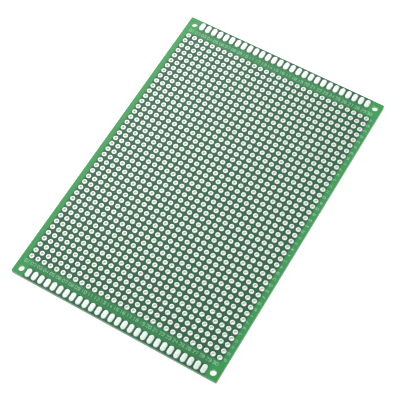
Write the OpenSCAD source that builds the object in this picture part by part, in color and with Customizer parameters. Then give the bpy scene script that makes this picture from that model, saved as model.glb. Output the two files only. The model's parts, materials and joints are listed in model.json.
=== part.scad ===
// Double-sided prototype board: a green glass-fibre board with a grid of tinned, plated-through lead holes.
// The origin is at the middle of the underside, +Z is up, and the long side runs along Y.
// Columns count along +X. Rows are lettered on the printed margin from +Y down, and numbered here in that order.

/* [Board] */
// Width of the board, across the columns
board_w = 80; // [40:1:100]
// Length of the board, along the columns
board_l = 120; // [60:1:140]
// Thickness of the bare glass-fibre laminate
laminate_t = 1.5; // [0.8:0.1:3]
// Radius of the board's corners
corner_r = 0.4; // [0.2:0.1:1.2]

/* [Lead holes] */
// Distance from one lead hole to the next, both ways
pitch = 2.54; // [2.4:0.01:5.08]
// Diameter drilled through the laminate for a lead hole
drill_d = 1.1; // [0.6:0.05:1.4]
// Thickness of the plated wall in a lead hole
plating_t = 0.05; // [0.03:0.01:0.1]
// Diameter of the round pad at each mouth of a lead hole
pad_d = 1.8; // [1.6:0.05:2.1]
// Thickness of the tinned pads on both faces
pad_t = 0.05; // [0.04:0.01:0.1]
// Bare board kept between a long edge and the middle of the outermost column
side_margin = 2.9; // [2:0.1:8]

/* [Edge contacts] */
// Width of the contacts along the two short edges
contact_w = 1.8; // [1:0.05:2.1]
// Length of the contacts, with their round ends
contact_l = 3.3; // [2.2:0.1:6]
// Bare board between the contacts and the short edge
contact_inset = 0.45; // [0.2:0.05:2]
// Strip between the contacts and the middle of the first row, which takes the printed numbers
number_strip = 4; // [2:0.1:8]

/* [Solder mask] */
// Thickness of the green solder mask on both faces
mask_t = 0.05; // [0.02:0.01:0.1]
// Bare ring that the mask leaves round each pad and hole
mask_gap = 0.08; // [0.04:0.01:0.12]

/* [Fixing holes] */
// Diameter of the four unplated fixing holes
fixing_d = 2.3; // [1.6:0.1:3]
// Distance from a fixing hole's middle to both edges beside it
fixing_inset = 2.5; // [2:0.1:3]

/* [Hidden] */
// As many columns and rows as the margins leave room for
cols = floor((board_w - 2 * side_margin) / pitch) + 1;
rows = floor((board_l - 2 * (contact_inset + contact_l + number_strip)) / pitch) + 1;
// The outermost columns have no contact, because a fixing hole is there
contacts = cols - 2;
// The underside's face layer, then the laminate and the top face layer, stand on each other
face_t = max(pad_t, mask_t);
laminate_z = face_t;
top_z = laminate_z + laminate_t;
contact_y = board_l / 2 - contact_inset - contact_l / 2;
bore_r = drill_d / 2 - plating_t;
// Long enough to cut through the board's whole thickness from a middle at z = 0
through_l = 3 * top_z;
// Sides of a drawn circle
hole_fn = 24;

function col_x(i) = (i - (cols - 1) / 2) * pitch;
function row_y(j) = ((rows + 1) / 2 - j) * pitch;
function contact_x(i) = (i - (contacts - 1) / 2) * pitch;
function row_name(j) = str("plated_row_", j < 10 ? "0" : "", j);

module outline() {
  square([board_w - 2 * corner_r, board_l], center = true);
  square([board_w, board_l - 2 * corner_r], center = true);
  for (x = [-1, 1], y = [-1, 1])
    translate([x * (board_w / 2 - corner_r), y * (board_l / 2 - corner_r)])
      circle(r = corner_r, $fn = hole_fn);
}

module at_fixings() {
  for (x = [-1, 1], y = [-1, 1])
    translate([x * (board_w / 2 - fixing_inset), y * (board_l / 2 - fixing_inset)]) children();
}

module at_leads() {
  for (i = [0:cols - 1], j = [1:rows]) translate([col_x(i), row_y(j)]) children();
}

// A contact's outline: straight sides and two round ends, grown by a margin all round
module contact_outline(grow = 0) {
  straight = contact_l - contact_w;
  square([contact_w + 2 * grow, straight], center = true);
  for (y = [-1, 1]) translate([0, y * straight / 2]) circle(r = contact_w / 2 + grow, $fn = hole_fn);
}

module contact_row(y) {
  for (i = [0:contacts - 1]) translate([contact_x(i), y]) children();
}

// The fixing holes are drilled last, through plates that have their other openings
module fixing_drills(r) {
  at_fixings() cylinder(h = through_l, r = r, center = true, $fn = hole_fn);
}

module laminate() {
  color("darkseagreen") difference() {
    translate([0, 0, laminate_z]) linear_extrude(laminate_t) difference() {
      outline();
      at_leads() circle(r = drill_d / 2, $fn = hole_fn);
    }
    fixing_drills(fixing_d / 2);
  }
}

module solder_mask(z) {
  color("seagreen") difference() {
    translate([0, 0, z]) linear_extrude(mask_t) difference() {
      outline();
      at_leads() circle(r = pad_d / 2 + mask_gap, $fn = hole_fn);
      for (side = [-1, 1]) contact_row(side * contact_y) contact_outline(mask_gap);
    }
    fixing_drills(fixing_d / 2 + mask_gap);
  }
}

module solder_mask_top() { solder_mask(top_z); }

module solder_mask_bottom() { solder_mask(laminate_z - mask_t); }

module contact_bank(side, z) {
  color("gainsboro") translate([0, 0, z]) linear_extrude(pad_t) contact_row(side * contact_y) contact_outline();
}

module contacts_near_top() { contact_bank(-1, top_z); }

module contacts_near_bottom() { contact_bank(-1, laminate_z - pad_t); }

module contacts_far_top() { contact_bank(1, top_z); }

module contacts_far_bottom() { contact_bank(1, laminate_z - pad_t); }

// One plated hole: a thin tube through the laminate with a flat pad turned out at both mouths
module plated_hole() {
  rotate_extrude($fn = hole_fn) polygon([
    [bore_r, laminate_z - pad_t],
    [pad_d / 2, laminate_z - pad_t],
    [pad_d / 2, laminate_z],
    [drill_d / 2, laminate_z],
    [drill_d / 2, top_z],
    [pad_d / 2, top_z],
    [pad_d / 2, top_z + pad_t],
    [bore_r, top_z + pad_t]
  ]);
}

module plated_row(j) {
  color("silver") for (i = [0:cols - 1]) translate([col_x(i), row_y(j)]) plated_hole();
}

laminate();
solder_mask_top();
solder_mask_bottom();
contacts_near_top();
contacts_near_bottom();
contacts_far_top();
contacts_far_bottom();
for (j = [1:rows]) plated_row(j);
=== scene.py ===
"""Looks of the prototype board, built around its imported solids. Lengths are in metres."""

import json
import math
import random

import bpy
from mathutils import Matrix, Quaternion, Vector


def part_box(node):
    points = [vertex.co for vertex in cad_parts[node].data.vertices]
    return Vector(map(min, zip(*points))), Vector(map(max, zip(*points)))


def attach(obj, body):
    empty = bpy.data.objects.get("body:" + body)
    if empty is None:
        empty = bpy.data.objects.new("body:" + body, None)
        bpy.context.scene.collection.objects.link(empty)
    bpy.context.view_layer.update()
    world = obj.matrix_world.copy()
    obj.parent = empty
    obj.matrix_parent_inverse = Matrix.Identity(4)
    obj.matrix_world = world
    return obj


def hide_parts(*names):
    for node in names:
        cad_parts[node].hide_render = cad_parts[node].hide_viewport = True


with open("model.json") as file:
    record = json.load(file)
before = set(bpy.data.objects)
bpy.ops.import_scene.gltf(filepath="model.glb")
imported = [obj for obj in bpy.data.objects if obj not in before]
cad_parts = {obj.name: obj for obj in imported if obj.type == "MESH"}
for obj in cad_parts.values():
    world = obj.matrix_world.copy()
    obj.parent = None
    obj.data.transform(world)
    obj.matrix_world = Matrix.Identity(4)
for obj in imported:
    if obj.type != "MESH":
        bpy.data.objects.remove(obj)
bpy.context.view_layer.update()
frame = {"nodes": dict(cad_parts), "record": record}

MM = 0.001
SEED = 7

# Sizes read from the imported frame


def corners(node):
    """A node's lowest and highest corner."""
    low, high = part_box(node)
    return Vector(low), Vector(high)


LEAD_HOLES = next(m for m in frame["record"]["mounts"] if m["name"] == "lead_holes")
BORE_R = LEAD_HOLES["dims"]["hole_r_mm"] * MM
ROWS = sorted(n for n in frame["nodes"] if n.startswith("plated_row_"))
BANKS = sorted(n for n in frame["nodes"] if n.startswith("contacts_"))
LAMINATE_LOW, LAMINATE_HIGH = corners("laminate")
ROW_LOW, ROW_HIGH = corners(ROWS[0])
BANK_LOW, BANK_HIGH = corners(BANKS[0])
PITCH = ROW_LOW.y - corners(ROWS[1])[0].y
PAD_R = (ROW_HIGH.y - ROW_LOW.y) / 2
FIRST_X, FIRST_Y = ROW_LOW.x + PAD_R, ROW_HIGH.y - PAD_R
COLUMNS = round((ROW_HIGH.x - ROW_LOW.x - 2 * PAD_R) / PITCH) + 1
# The outermost columns have no contact, because a fixing hole is there
CONTACTS = COLUMNS - 2
CONTACT_W = BANK_HIGH.x - BANK_LOW.x - (CONTACTS - 1) * PITCH
CONTACT_L = BANK_HIGH.y - BANK_LOW.y
HALF_W, HALF_L = LAMINATE_HIGH.x, LAMINATE_HIGH.y
TOP = corners("solder_mask_top")[1].z


def column_x(i):
    return FIRST_X + i * PITCH


# Camera, at the photograph's angle

LENS = 114.5
SENSOR = 36.0
CAMERA_AT = Vector((116.35, -177.23, 389.57)) * MM
CAMERA_AIM = Vector((1.90, -5.45, 1.60)) * MM
CAMERA_ROLL = -3.61
CLIP_START = 0.01


def add_camera():
    data = bpy.data.cameras.new("camera")
    data.lens = LENS
    data.sensor_width = SENSOR
    data.clip_start = CLIP_START
    camera = bpy.data.objects.new("camera", data)
    bpy.context.scene.collection.objects.link(camera)
    camera.location = CAMERA_AT
    camera.rotation_mode = "QUATERNION"
    level = (CAMERA_AIM - CAMERA_AT).to_track_quat("-Z", "Y")
    camera.rotation_quaternion = level @ Quaternion((0, 0, 1), math.radians(CAMERA_ROLL))
    bpy.context.scene.camera = camera


# Materials

# Levels that noise mostly keeps between
NOISE_SPAN = (0.3, 0.7)
BUMP_DETAIL = 2.0
# Where pads and contacts stand, with a rim round them, and how softly those areas end
RIM = 0.2 * MM
SOFT = 0.45 * MM
GRID_X, GRID_Y = ROW_HIGH.x + RIM, ROW_HIGH.y + RIM
BANK_X = BANK_HIGH.x + RIM
BANK_IN = min(abs(BANK_LOW.y), abs(BANK_HIGH.y)) - RIM
# How far the strips between pads and contacts share the painted shade of the metal-covered grid
STRIP_SHARE = 0.48
# Threads of the glass cloth, which show more in some patches than in others
THREAD = 0.40 * MM
CLOTH_PATCH, CLOTH_SHOWS = 1.3 * MM, (0.2, 1.0)


class Shader:
    """A material with a Principled node, and short ways to add the nodes that feed it."""

    def __init__(self, name, **sockets):
        self.material = bpy.data.materials.new(name)
        self.material.use_nodes = True
        self.tree = self.material.node_tree
        self.surface = self.tree.nodes["Principled BSDF"]
        for socket, value in sockets.items():
            self.surface.inputs[socket.replace("_", " ")].default_value = value

    def add(self, kind, inputs=(), **settings):
        """A node with its settings, and its inputs as (input, value or output) pairs."""
        node = self.tree.nodes.new("ShaderNode" + kind)
        for name, value in settings.items():
            setattr(node, name, value)
        for name, value in inputs:
            if isinstance(value, bpy.types.NodeSocket):
                self.tree.links.new(value, node.inputs[name])
            else:
                node.inputs[name].default_value = value
        return node

    def place(self):
        return self.add("TexCoord").outputs["Object"]

    def math(self, operation, *values):
        return self.add("Math", enumerate(values), operation=operation).outputs[0]

    def noise(self, size, detail=3.0):
        """Noise whose lumps are about this size."""
        inputs = [("Vector", self.place()), ("Scale", 1 / size), ("Detail", detail)]
        return self.add("TexNoise", inputs).outputs["Fac"]

    def ramp(self, value, low, high, to_low, to_high):
        inputs = [("Value", value), ("From Min", low), ("From Max", high)]
        inputs += [("To Min", to_low), ("To Max", to_high)]
        return self.add("MapRange", inputs).outputs["Result"]

    def lumps(self, size, low, high, span=NOISE_SPAN):
        """Between low and high, in lumps of about this size."""
        return self.ramp(self.noise(size), *span, low, high)

    def mix(self, share, colour_a, colour_b):
        node = self.add("Mix", data_type="RGBA")
        for name, value in (("Factor", share), ("A", colour_a), ("B", colour_b)):
            socket = next(s for s in node.inputs if s.name == name and s.enabled)
            if isinstance(value, bpy.types.NodeSocket):
                self.tree.links.new(value, socket)
            else:
                socket.default_value = value
        return next(s for s in node.outputs if s.enabled)

    def feed(self, socket, output):
        self.tree.links.new(output, self.surface.inputs[socket])

    def bump(self, height, depth):
        inputs = [("Height", height), ("Distance", depth)]
        self.feed("Normal", self.add("Bump", inputs).outputs["Normal"])

    def axis(self, name):
        """How far a point is along X, Y or Z."""
        return self.add("SeparateXYZ", [("Vector", self.place())]).outputs[name]

    def within(self, axis, low, high):
        """1 between two distances from the board's middle line and 0 outside them, with soft ends."""
        middle, half = (low + high) / 2, (high - low) / 2
        off = self.math("SUBTRACT", self.math("ABSOLUTE", self.axis(axis)), middle)
        return self.ramp(self.math("ABSOLUTE", off), half - SOFT, half + SOFT, 1.0, 0.0)

    def among_pads(self):
        """1 over the grid of pads and 0 outside it."""
        return self.math("MULTIPLY", self.within("X", -GRID_X, GRID_X), self.within("Y", -GRID_Y, GRID_Y))

    def metal_shade(self):
        """1 among the pads and contacts, about half on the strips between them and 0 on bare margins: the
        share of painted shade where metal covers the board.
        """
        reach = self.math("MULTIPLY", self.within("Y", 0, BANK_IN), STRIP_SHARE)
        ends = self.math("MAXIMUM", self.within("Y", BANK_IN, HALF_L + MM), reach)
        banks = self.math("MULTIPLY", self.within("X", -BANK_X, BANK_X), ends)
        return self.math("MAXIMUM", self.among_pads(), banks)

    def weave(self):
        """Threads of the glass cloth, over and under each other, from -1 to 1."""
        turns = [self.math("MULTIPLY", self.axis(name), math.pi / THREAD) for name in ("X", "Y")]
        waves = [self.math("SINE", turn) for turn in turns]
        shows = self.lumps(CLOTH_PATCH, *CLOTH_SHOWS)
        return self.math("MULTIPLY", self.math("MULTIPLY", *waves), shows)

    def from_hole(self):
        """Distance from the nearest lead hole's middle, as the grid repeats."""
        squares = []
        for name, first in (("X", FIRST_X), ("Y", FIRST_Y)):
            steps = self.math("DIVIDE", self.math("SUBTRACT", self.axis(name), first), PITCH)
            off = self.math("MULTIPLY", self.math("PINGPONG", steps, 0.5), PITCH)
            squares.append(self.math("POWER", off, 2.0))
        return self.math("SQRT", self.math("ADD", *squares))


# Painted shade: the mask is darkened where metal covers most of the board and keeps light out of the
# laminate
MASK_GREEN = (0.033, 0.358, 0.084, 1)
MASK_SHADED = (0.006, 0.126, 0.040, 1)
MASK_RING_SHADE = (0.003, 0.072, 0.022, 1)
# Painted shade makes it deepest round each pad, from the mask's edge to this far out from the pad
MASK_GAP, RING_REACH = 0.08 * MM, 0.35 * MM
RING_IN, RING_OUT = PAD_R + MASK_GAP, PAD_R + RING_REACH
CLOUD_SIZE, CLOUD_SHADE = 9 * MM, 0.07
WEAVE_SHADE, WEAVE_BUMP = 0.05, 0.4
MASK_GLOSS = 0.36
MASK_PATCH, MASK_ROUGH = 2.5 * MM, (0.32, 0.42)
MASK_GRAIN, MASK_BUMP = 0.35 * MM, 0.004 * MM


def mask_material():
    """Semi-gloss green ink over glass cloth, with painted shade over the metal-covered grid and deepest
    close round the pads.
    """
    s = Shader("solder_mask", Specular_IOR_Level=MASK_GLOSS)
    cloud = s.lumps(CLOUD_SIZE, -CLOUD_SHADE, CLOUD_SHADE)
    weave = s.weave()
    # Painted shade over the metal-covered grid, with random cloudy tone and the cloth's weave
    shade_and_tone = s.math("ADD", s.math("ADD", s.metal_shade(), cloud), s.math("MULTIPLY", weave, WEAVE_SHADE))
    # Painted shade in a ring round each pad
    ring = s.math("MULTIPLY", s.ramp(s.from_hole(), RING_IN, RING_OUT, 1.0, 0.0), s.among_pads())
    s.feed("Base Color", s.mix(ring, s.mix(shade_and_tone, MASK_GREEN, MASK_SHADED), MASK_RING_SHADE))
    s.feed("Roughness", s.lumps(MASK_PATCH, *MASK_ROUGH))
    grain = s.noise(MASK_GRAIN, BUMP_DETAIL)
    s.bump(s.math("ADD", grain, s.math("MULTIPLY", weave, WEAVE_BUMP)), MASK_BUMP)
    return s.material


# Bare laminate: plies on its outer edges, and brighter ones down the drilled holes, painted light for the
# light that soaks through from both faces; and the narrow rings of its faces that the mask leaves open,
# painted dark for the shade in those gaps and darker where metal covers the board
PLY_DARK, PLY_LIGHT = (0.17, 0.40, 0.24, 1), (0.33, 0.57, 0.38, 1)
LIT_DRILLED_DARK, LIT_DRILLED_LIGHT = (0.31, 0.79, 0.39, 1), (0.39, 0.84, 0.47, 1)
GAP_SHADE_DARK, GAP_SHADE_LIGHT = (0.010, 0.060, 0.028, 1), (0.05, 0.24, 0.09, 1)
PLY_T = 0.21 * MM
# Size of the patches in which the plies wander, how far they do, and the span of their wave with that
PLY_PATCH, PLY_WANDER, PLY_SPAN = 0.5 * MM, 0.8, 1.2
# Inside this distance from the outline, an upright face is a hole's wall
EDGE_IN = 0.7 * MM
DRILLED_X, DRILLED_Y = HALF_W - EDGE_IN, HALF_L - EDGE_IN
LAMINATE_ROUGH = 0.6
FIBRE_GRAIN, FIBRE_BUMP = 0.12 * MM, 0.02 * MM


def laminate_material():
    """Glass-fibre epoxy: plies show as fine lines round the cut edge and in the fixing holes."""
    s = Shader("laminate", Roughness=LAMINATE_ROUGH)
    wave = s.math("SINE", s.math("MULTIPLY", s.axis("Z"), 2 * math.pi / PLY_T))
    ply = s.math("ADD", wave, s.lumps(PLY_PATCH, -PLY_WANDER, PLY_WANDER))
    ply = s.ramp(ply, -PLY_SPAN, PLY_SPAN, 0, 1)
    inside = s.math("MULTIPLY", s.within("X", -DRILLED_X, DRILLED_X), s.within("Y", -DRILLED_Y, DRILLED_Y))
    # Painted light brightens the walls of the fixing holes
    edge = s.mix(inside, s.mix(ply, PLY_DARK, PLY_LIGHT), s.mix(ply, LIT_DRILLED_DARK, LIT_DRILLED_LIGHT))
    # Painted shade on the open face rings, deeper where metal covers the board
    face = s.mix(s.metal_shade(), GAP_SHADE_LIGHT, GAP_SHADE_DARK)
    normal = s.add("SeparateXYZ", [("Vector", s.add("NewGeometry").outputs["True Normal"])])
    flat = s.math("ABSOLUTE", normal.outputs["Z"])
    s.feed("Base Color", s.mix(flat, edge, face))
    s.bump(s.noise(FIBRE_GRAIN), FIBRE_BUMP)
    return s.material


SOLDER_BRIGHT = (0.66, 0.75, 0.70, 1)
SOLDER_GREY = (0.59, 0.675, 0.62, 1)
# Painted shade: darker solder for the thin rims and down the bores
SOLDER_RIM_SHADE = (0.525, 0.635, 0.57, 1)
SOLDER_BORE_SHADE = (0.68, 0.67, 0.66, 1)
SOLDER_PATCH, SOLDER_SPAN = 0.5 * MM, (0.42, 0.62)
# Heights over the laminate between which the rim's painted shade gives way, and depth where the bore's
# painted shade and extra roughness are full
RIM_LOW, RIM_HIGH = 0.01 * MM, 0.03 * MM
BORE_FULL = 0.05 * MM
SHEEN_PATCH = 1.1 * MM
BORE_ROUGHER = 0.12
SOLDER_GRAIN, SOLDER_BUMP = 0.45 * MM, 0.008 * MM
PAD_ROUGH = (0.28, 0.42)
# The broad contacts take a darker copy of the solder's colours, painted shade that holds down the lamp's
# highlight on them, and are rougher than the pads
CONTACT_SHADE_SHARE = 0.92
CONTACT_ROUGH = (0.40, 0.52)


def solder_material(name, share, roughness):
    """Levelled solder: bright with greyer patches, and painted shade at the thin rims and down the bores,
    which are also rougher.
    """
    s = Shader(name, Metallic=1.0)
    colours = (SOLDER_BRIGHT, SOLDER_GREY, SOLDER_RIM_SHADE)
    bright, grey, rim = [(*(share * c for c in colour[:3]), 1) for colour in colours]
    middle = (LAMINATE_LOW.z + LAMINATE_HIGH.z) / 2
    off = s.math("ABSOLUTE", s.math("SUBTRACT", s.axis("Z"), middle))
    rise = s.math("SUBTRACT", off, (LAMINATE_HIGH.z - LAMINATE_LOW.z) / 2)
    patch = s.mix(s.lumps(SOLDER_PATCH, 0, 1, SOLDER_SPAN), bright, grey)
    # Painted shade on the thin rims
    crown = s.mix(s.ramp(rise, RIM_LOW, RIM_HIGH, 1.0, 0.0), patch, rim)
    bore = s.ramp(rise, -BORE_FULL, 0.0, 1.0, 0.0)
    # Painted shade down the bores
    s.feed("Base Color", s.mix(bore, crown, SOLDER_BORE_SHADE))
    rough = s.lumps(SHEEN_PATCH, *roughness)
    s.feed("Roughness", s.math("ADD", rough, s.math("MULTIPLY", bore, BORE_ROUGHER)))
    s.bump(s.noise(SOLDER_GRAIN, BUMP_DETAIL), SOLDER_BUMP)
    return s.material


INK_THIN, INK_FULL = (0.38, 0.76, 0.58, 1), (0.62, 0.90, 0.78, 1)
INK_PATCH, INK_SPAN = 0.25 * MM, (0.35, 0.65)
INK_ROUGH = 0.55


def ink_material():
    """Printed ink, slightly patchy where the screen let less through."""
    s = Shader("ink", Roughness=INK_ROUGH)
    s.feed("Base Color", s.mix(s.lumps(INK_PATCH, 0, 1, INK_SPAN), INK_THIN, INK_FULL))
    return s.material


# Edges that turn by more than this stay sharp
SHARP = math.radians(35)


def dress(node, material):
    """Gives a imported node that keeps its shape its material."""
    node = frame["nodes"][node]
    for slot in node.material_slots:
        slot.material = material


def add_piece(name, verts, faces, material):
    """A shaded piece in the board's frame, smooth but for its sharp corners."""
    mesh = bpy.data.meshes.new(name)
    mesh.from_pydata(verts, [], faces)
    mesh.validate()
    mesh.shade_smooth()
    mesh.set_sharp_from_angle(angle=SHARP)
    mesh.materials.append(material)
    piece = bpy.data.objects.new(name, mesh)
    bpy.context.scene.collection.objects.link(piece)
    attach(piece, "root")
    return piece


# Solder on the plated holes

PAD_STEPS = 20
WALL_T = 0.05 * MM
# How the solder stands on a pad: share of the way from bore to rim, and height over the laminate in mm
TOP_RISE = ((0, 0.030), (0.06, 0.058), (0.2, 0.075), (0.45, 0.081), (0.75, 0.070), (0.92, 0.046),
            (0.985, 0.020), (1, 0))
UNDER_RISE = ((0, 0.020), (0.15, 0.045), (0.85, 0.045), (1, 0))
SWELL_LOW, SWELL_HIGH = 0.86, 1.04
# A pad's solder leans to one side by this much, and in full only from this height up
LEAN, LEAN_FROM = 0.008 * MM, 0.04 * MM


def pad_profile():
    """One closed outline round a plated hole's wall and pads, as (radius, height, face)."""
    width = PAD_R - BORE_R
    top = [(BORE_R + share * width, rise * MM, "top") for share, rise in TOP_RISE]
    under = [(BORE_R + share * width, rise * MM, "under") for share, rise in reversed(UNDER_RISE)]
    return top + [(BORE_R + WALL_T, 0.0, "top"), (BORE_R + WALL_T, 0.0, "under")] + under


def plated_row(node):
    low, high = corners(node)
    y = (low.y + high.y) / 2
    profile = pad_profile()
    count = len(profile)
    verts, faces = [], []
    for i in range(COLUMNS):
        x = column_x(i)
        first = len(verts)
        swell = random.uniform(SWELL_LOW, SWELL_HIGH)
        lean = random.uniform(0, 2 * math.pi)
        for step in range(PAD_STEPS):
            angle = 2 * math.pi * step / PAD_STEPS
            tilt = LEAN * math.cos(angle - lean)
            for r, h, face in profile:
                if face == "under":
                    z = LAMINATE_LOW.z - h
                else:
                    z = LAMINATE_HIGH.z + h * swell + tilt * min(1, h / LEAN_FROM)
                verts.append((x + r * math.cos(angle), y + r * math.sin(angle), z))
        for step in range(PAD_STEPS):
            here, there = first + step * count, first + (step + 1) % PAD_STEPS * count
            for k in range(count):
                n = (k + 1) % count
                faces.append((here + k, here + n, there + n, there + k))
    piece = add_piece(node.replace("plated", "solder"), verts, faces, SOLDER)
    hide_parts(node)


# Solder on the edge contacts

CONTACT_STEPS = 26
# Distance in from the contact's edge and height over the laminate, both in mm
CONTACT_RISE = ((0, 0), (0.006, 0.020), (0.03, 0.042), (0.10, 0.062), (0.25, 0.074), (0.50, 0.081),
                (0.86, 0.084))
# The underside's solder rises by this share of it, and stays inside the board's height
UNDER_SHARE = 0.59


def stadium(inset):
    """The contact's outline, drawn in from its edge."""
    r = CONTACT_W / 2 - inset
    straight = (CONTACT_L - CONTACT_W) / 2
    points = []
    for step in range(CONTACT_STEPS):
        half = 1 if step < CONTACT_STEPS / 2 else -1
        angle = math.pi * (step % (CONTACT_STEPS // 2)) / (CONTACT_STEPS // 2 - 1)
        points.append((half * r * math.cos(angle), half * (r * math.sin(angle) + straight)))
    return points


def contact_bank(node):
    low, high = corners(node)
    middle_y = (low.y + high.y) / 2
    top = low.z > LAMINATE_LOW.z
    base = LAMINATE_HIGH.z if top else LAMINATE_LOW.z
    verts, faces = [], []
    for i in range(CONTACTS):
        x = column_x(i + 1)
        first = len(verts)
        swell = random.uniform(SWELL_LOW, SWELL_HIGH)
        for inset, rise in CONTACT_RISE:
            z = base + rise * MM * swell if top else base - rise * MM * UNDER_SHARE
            verts += [(x + px, middle_y + py, z) for px, py in stadium(inset * MM)]
        rings = len(CONTACT_RISE)
        for ring in range(rings - 1):
            a, b = first + ring * CONTACT_STEPS, first + (ring + 1) * CONTACT_STEPS
            for k in range(CONTACT_STEPS):
                n = (k + 1) % CONTACT_STEPS
                face = (a + k, a + n, b + n, b + k)
                faces.append(face if top else face[::-1])
        crown = list(range(first + (rings - 1) * CONTACT_STEPS, first + rings * CONTACT_STEPS))
        foot = list(range(first, first + CONTACT_STEPS))
        faces.append(crown if top else crown[::-1])
        faces.append(foot[::-1] if top else foot)
    piece = add_piece(node.replace("contacts", "solder_contacts"), verts, faces, CONTACT_SOLDER)
    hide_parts(node)


# Printed legend, drawn with strokes on a grid 4 wide and 6 high, a stroke as a list of xy points

STROKES = {
    "0": "10 30 41 45 36 16 05 01 10",
    "1": "15 26 20",
    "2": "05 16 36 45 44 00 40",
    "3": "05 16 36 45 44 33 13,33 42 41 30 10 01",
    "4": "30 36 02 42",
    "5": "46 06 03 33 42 41 30 10 01",
    "6": "45 36 16 05 01 10 30 41 42 33 03",
    "7": "06 46 20",
    "8": "13 04 05 16 36 45 44 33 13 02 01 10 30 41 42 33",
    "9": "43 13 04 05 16 36 45 41 30 10 01",
    "A": "00 26 40,12 32",
    "B": "03 33 42 41 30 00 06 36 45 44 33",
    "C": "45 36 16 05 01 10 30 41",
    "D": "00 06 26 44 42 20 00",
    "E": "46 06 00 40,03 33",
    "F": "46 06 00,03 33",
    "G": "45 36 16 05 01 10 30 41 43 23",
    "H": "00 06,40 46,03 43",
    "I": "20 26",
    "J": "46 41 30 10 01",
    "K": "00 06,46 03 40",
    "L": "06 00 40",
    "M": "00 06 23 46 40",
    "N": "00 06 40 46",
    "O": "10 30 41 45 36 16 05 01 10",
    "P": "00 06 36 45 44 33 03",
    "Q": "10 30 41 45 36 16 05 01 10,22 40",
    "R": "00 06 36 45 44 33 03,23 40",
    "S": "45 36 16 05 04 13 33 42 41 30 10 01",
    "T": "06 46,26 20",
    "U": "06 01 10 30 41 46",
    "V": "06 20 46",
    "W": "06 10 23 30 46",
    "X": "00 46,06 40",
    "Y": "06 23 46,23 20",
    "Z": "06 46 00 40",
}
GLYPH_W, GLYPH_H = 4, 6
GLYPH_STEP = 5.8
NUMBER_H = 1.10 * MM
LETTER_H = 1.05 * MM
STROKE_W = 0.13 * MM
INK_H = 0.015 * MM
NUMBER_AT = {"near": (-0.28 * MM, -54.4 * MM), "far": (0.0, 54.5 * MM)}
LETTER_X = 38.7 * MM
ALPHABET = "ABCDEFGHIJKLMNOPQRSTUVWXYZ"


def text_strokes(text, centre, height, turn=0.0):
    """A text's strokes as lists of points on the board, centred on a place."""
    unit = height / GLYPH_H
    width = GLYPH_W + GLYPH_STEP * (len(text) - 1)
    strokes = []
    for i, glyph in enumerate(text):
        for stroke in STROKES[glyph].split(","):
            points = []
            for pair in stroke.split():
                x = (int(pair[0]) + GLYPH_STEP * i - width / 2) * unit
                y = (int(pair[1]) - GLYPH_H / 2) * unit
                cos, sin = math.cos(turn), math.sin(turn)
                points.append((centre[0] + x * cos - y * sin, centre[1] + x * sin + y * cos))
            strokes.append(points)
    return strokes


def printed(name, strokes):
    """Ink lines with round backs, lying on the mask."""
    curve = bpy.data.curves.new(name, "CURVE")
    curve.dimensions = "3D"
    curve.bevel_depth = STROKE_W / 2
    curve.bevel_resolution = 1
    curve.use_fill_caps = True
    for points in strokes:
        closed = points[0] == points[-1]
        if closed:
            points = points[:-1]
        spline = curve.splines.new("POLY")
        spline.points.add(len(points) - 1)
        for point, (x, y) in zip(spline.points, points):
            point.co = (x, y, 0, 1)
        spline.use_cyclic_u = closed
    holder = bpy.data.objects.new(name + "_line", curve)
    mesh = bpy.data.meshes.new_from_object(holder)
    bpy.data.objects.remove(holder)
    flat = INK_H / (STROKE_W / 2)
    verts = [(v.co.x, v.co.y, TOP + v.co.z * flat) for v in mesh.vertices]
    faces = [tuple(p.vertices) for p in mesh.polygons]
    piece = add_piece(name, verts, faces, INK)


def add_legend():
    for end, (x, y) in NUMBER_AT.items():
        strokes = []
        for i in range(COLUMNS):
            strokes += text_strokes(f"{i + 1:02d}", (column_x(i) + x, y), NUMBER_H)
        printed("numbers_" + end, strokes)
    strokes = []
    for j, node in enumerate(ROWS):
        low, high = corners(node)
        letter = ALPHABET[j % len(ALPHABET)]
        place = (LETTER_X, (low.y + high.y) / 2)
        strokes += text_strokes(letter, place, LETTER_H, -math.pi / 2)
    printed("row_letters", strokes)


# Stage and light

FLOOR_SIZE = 3.0
FLOOR_DROP = 0.02 * MM
FLOOR_COLOUR = (0.80, 0.80, 0.80, 1)
FLOOR_ROUGH = 0.9
FLOOR_LIFT = 0.75
WHITE = (1, 1, 1, 1)
WORLD_LEVEL = 0.57
KEY_AT = Vector((-0.275, 0.21, 0.23))
KEY_SIZE = 0.50
KEY_POWER = 1.3


def seen_share(tree):
    """1 where the camera looks straight at a surface, or sees it in gloss or through glass."""
    path = tree.nodes.new("ShaderNodeLightPath")
    share = None
    for ray in ("Is Camera Ray", "Is Glossy Ray", "Is Transmission Ray"):
        if share is None:
            share = path.outputs[ray]
            continue
        most = tree.nodes.new("ShaderNodeMath")
        most.operation = "MAXIMUM"
        tree.links.new(share, most.inputs[0])
        tree.links.new(path.outputs[ray], most.inputs[1])
        share = most.outputs[0]
    return share


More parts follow.
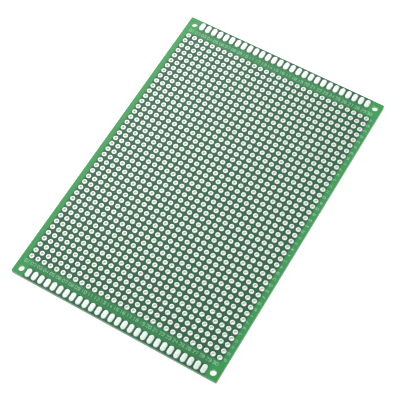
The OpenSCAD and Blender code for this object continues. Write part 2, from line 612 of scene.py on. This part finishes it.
def add_floor():
    """A white floor that keeps the board's shadow, lifted to white where it is looked at."""
    half = FLOOR_SIZE / 2
    square = [(-half, -half), (half, -half), (half, half), (-half, half)]
    mesh = bpy.data.meshes.new("floor")
    mesh.from_pydata([(x, y, -FLOOR_DROP) for x, y in square], [], [(0, 1, 2, 3)])
    floor = bpy.data.objects.new("floor", mesh)
    bpy.context.scene.collection.objects.link(floor)
    s = Shader("floor", Base_Color=FLOOR_COLOUR, Roughness=FLOOR_ROUGH, Emission_Color=WHITE)
    s.feed("Emission Strength", s.math("MULTIPLY", seen_share(s.tree), FLOOR_LIFT))
    mesh.materials.append(s.material)


def add_world():
    """Even light from all round, which the camera and mirrors see as white."""
    world = bpy.data.worlds.new("world")
    bpy.context.scene.world = world
    world.use_nodes = True
    tree = world.node_tree
    background = tree.nodes["Background"]
    background.inputs["Color"].default_value = WHITE
    level = tree.nodes.new("ShaderNodeMapRange")
    tree.links.new(seen_share(tree), level.inputs["Value"])
    level.inputs["To Min"].default_value = WORLD_LEVEL
    level.inputs["To Max"].default_value = 1.0
    tree.links.new(level.outputs["Result"], background.inputs["Strength"])


def add_key():
    """One soft lamp at the far left, aimed at the board."""
    data = bpy.data.lights.new("key", "AREA")
    data.shape = "DISK"
    data.size = KEY_SIZE
    data.energy = KEY_POWER
    key = bpy.data.objects.new("key", data)
    bpy.context.scene.collection.objects.link(key)
    key.location = KEY_AT
    key.rotation_mode = "QUATERNION"
    key.rotation_quaternion = (-KEY_AT).to_track_quat("-Z", "Y")


random.seed(SEED)
add_camera()
SOLDER = solder_material("solder", 1.0, PAD_ROUGH)
# The contacts' darker copy of the solder is painted shade
CONTACT_SOLDER = solder_material("contact_solder", CONTACT_SHADE_SHARE, CONTACT_ROUGH)
INK = ink_material()
MASK = mask_material()
dress("laminate", laminate_material())
dress("solder_mask_top", MASK)
dress("solder_mask_bottom", MASK)
for name in ROWS:
    plated_row(name)
for name in BANKS:
    contact_bank(name)
add_legend()
add_floor()
add_world()
add_key()
bpy.context.scene.view_settings.view_transform = "Standard"
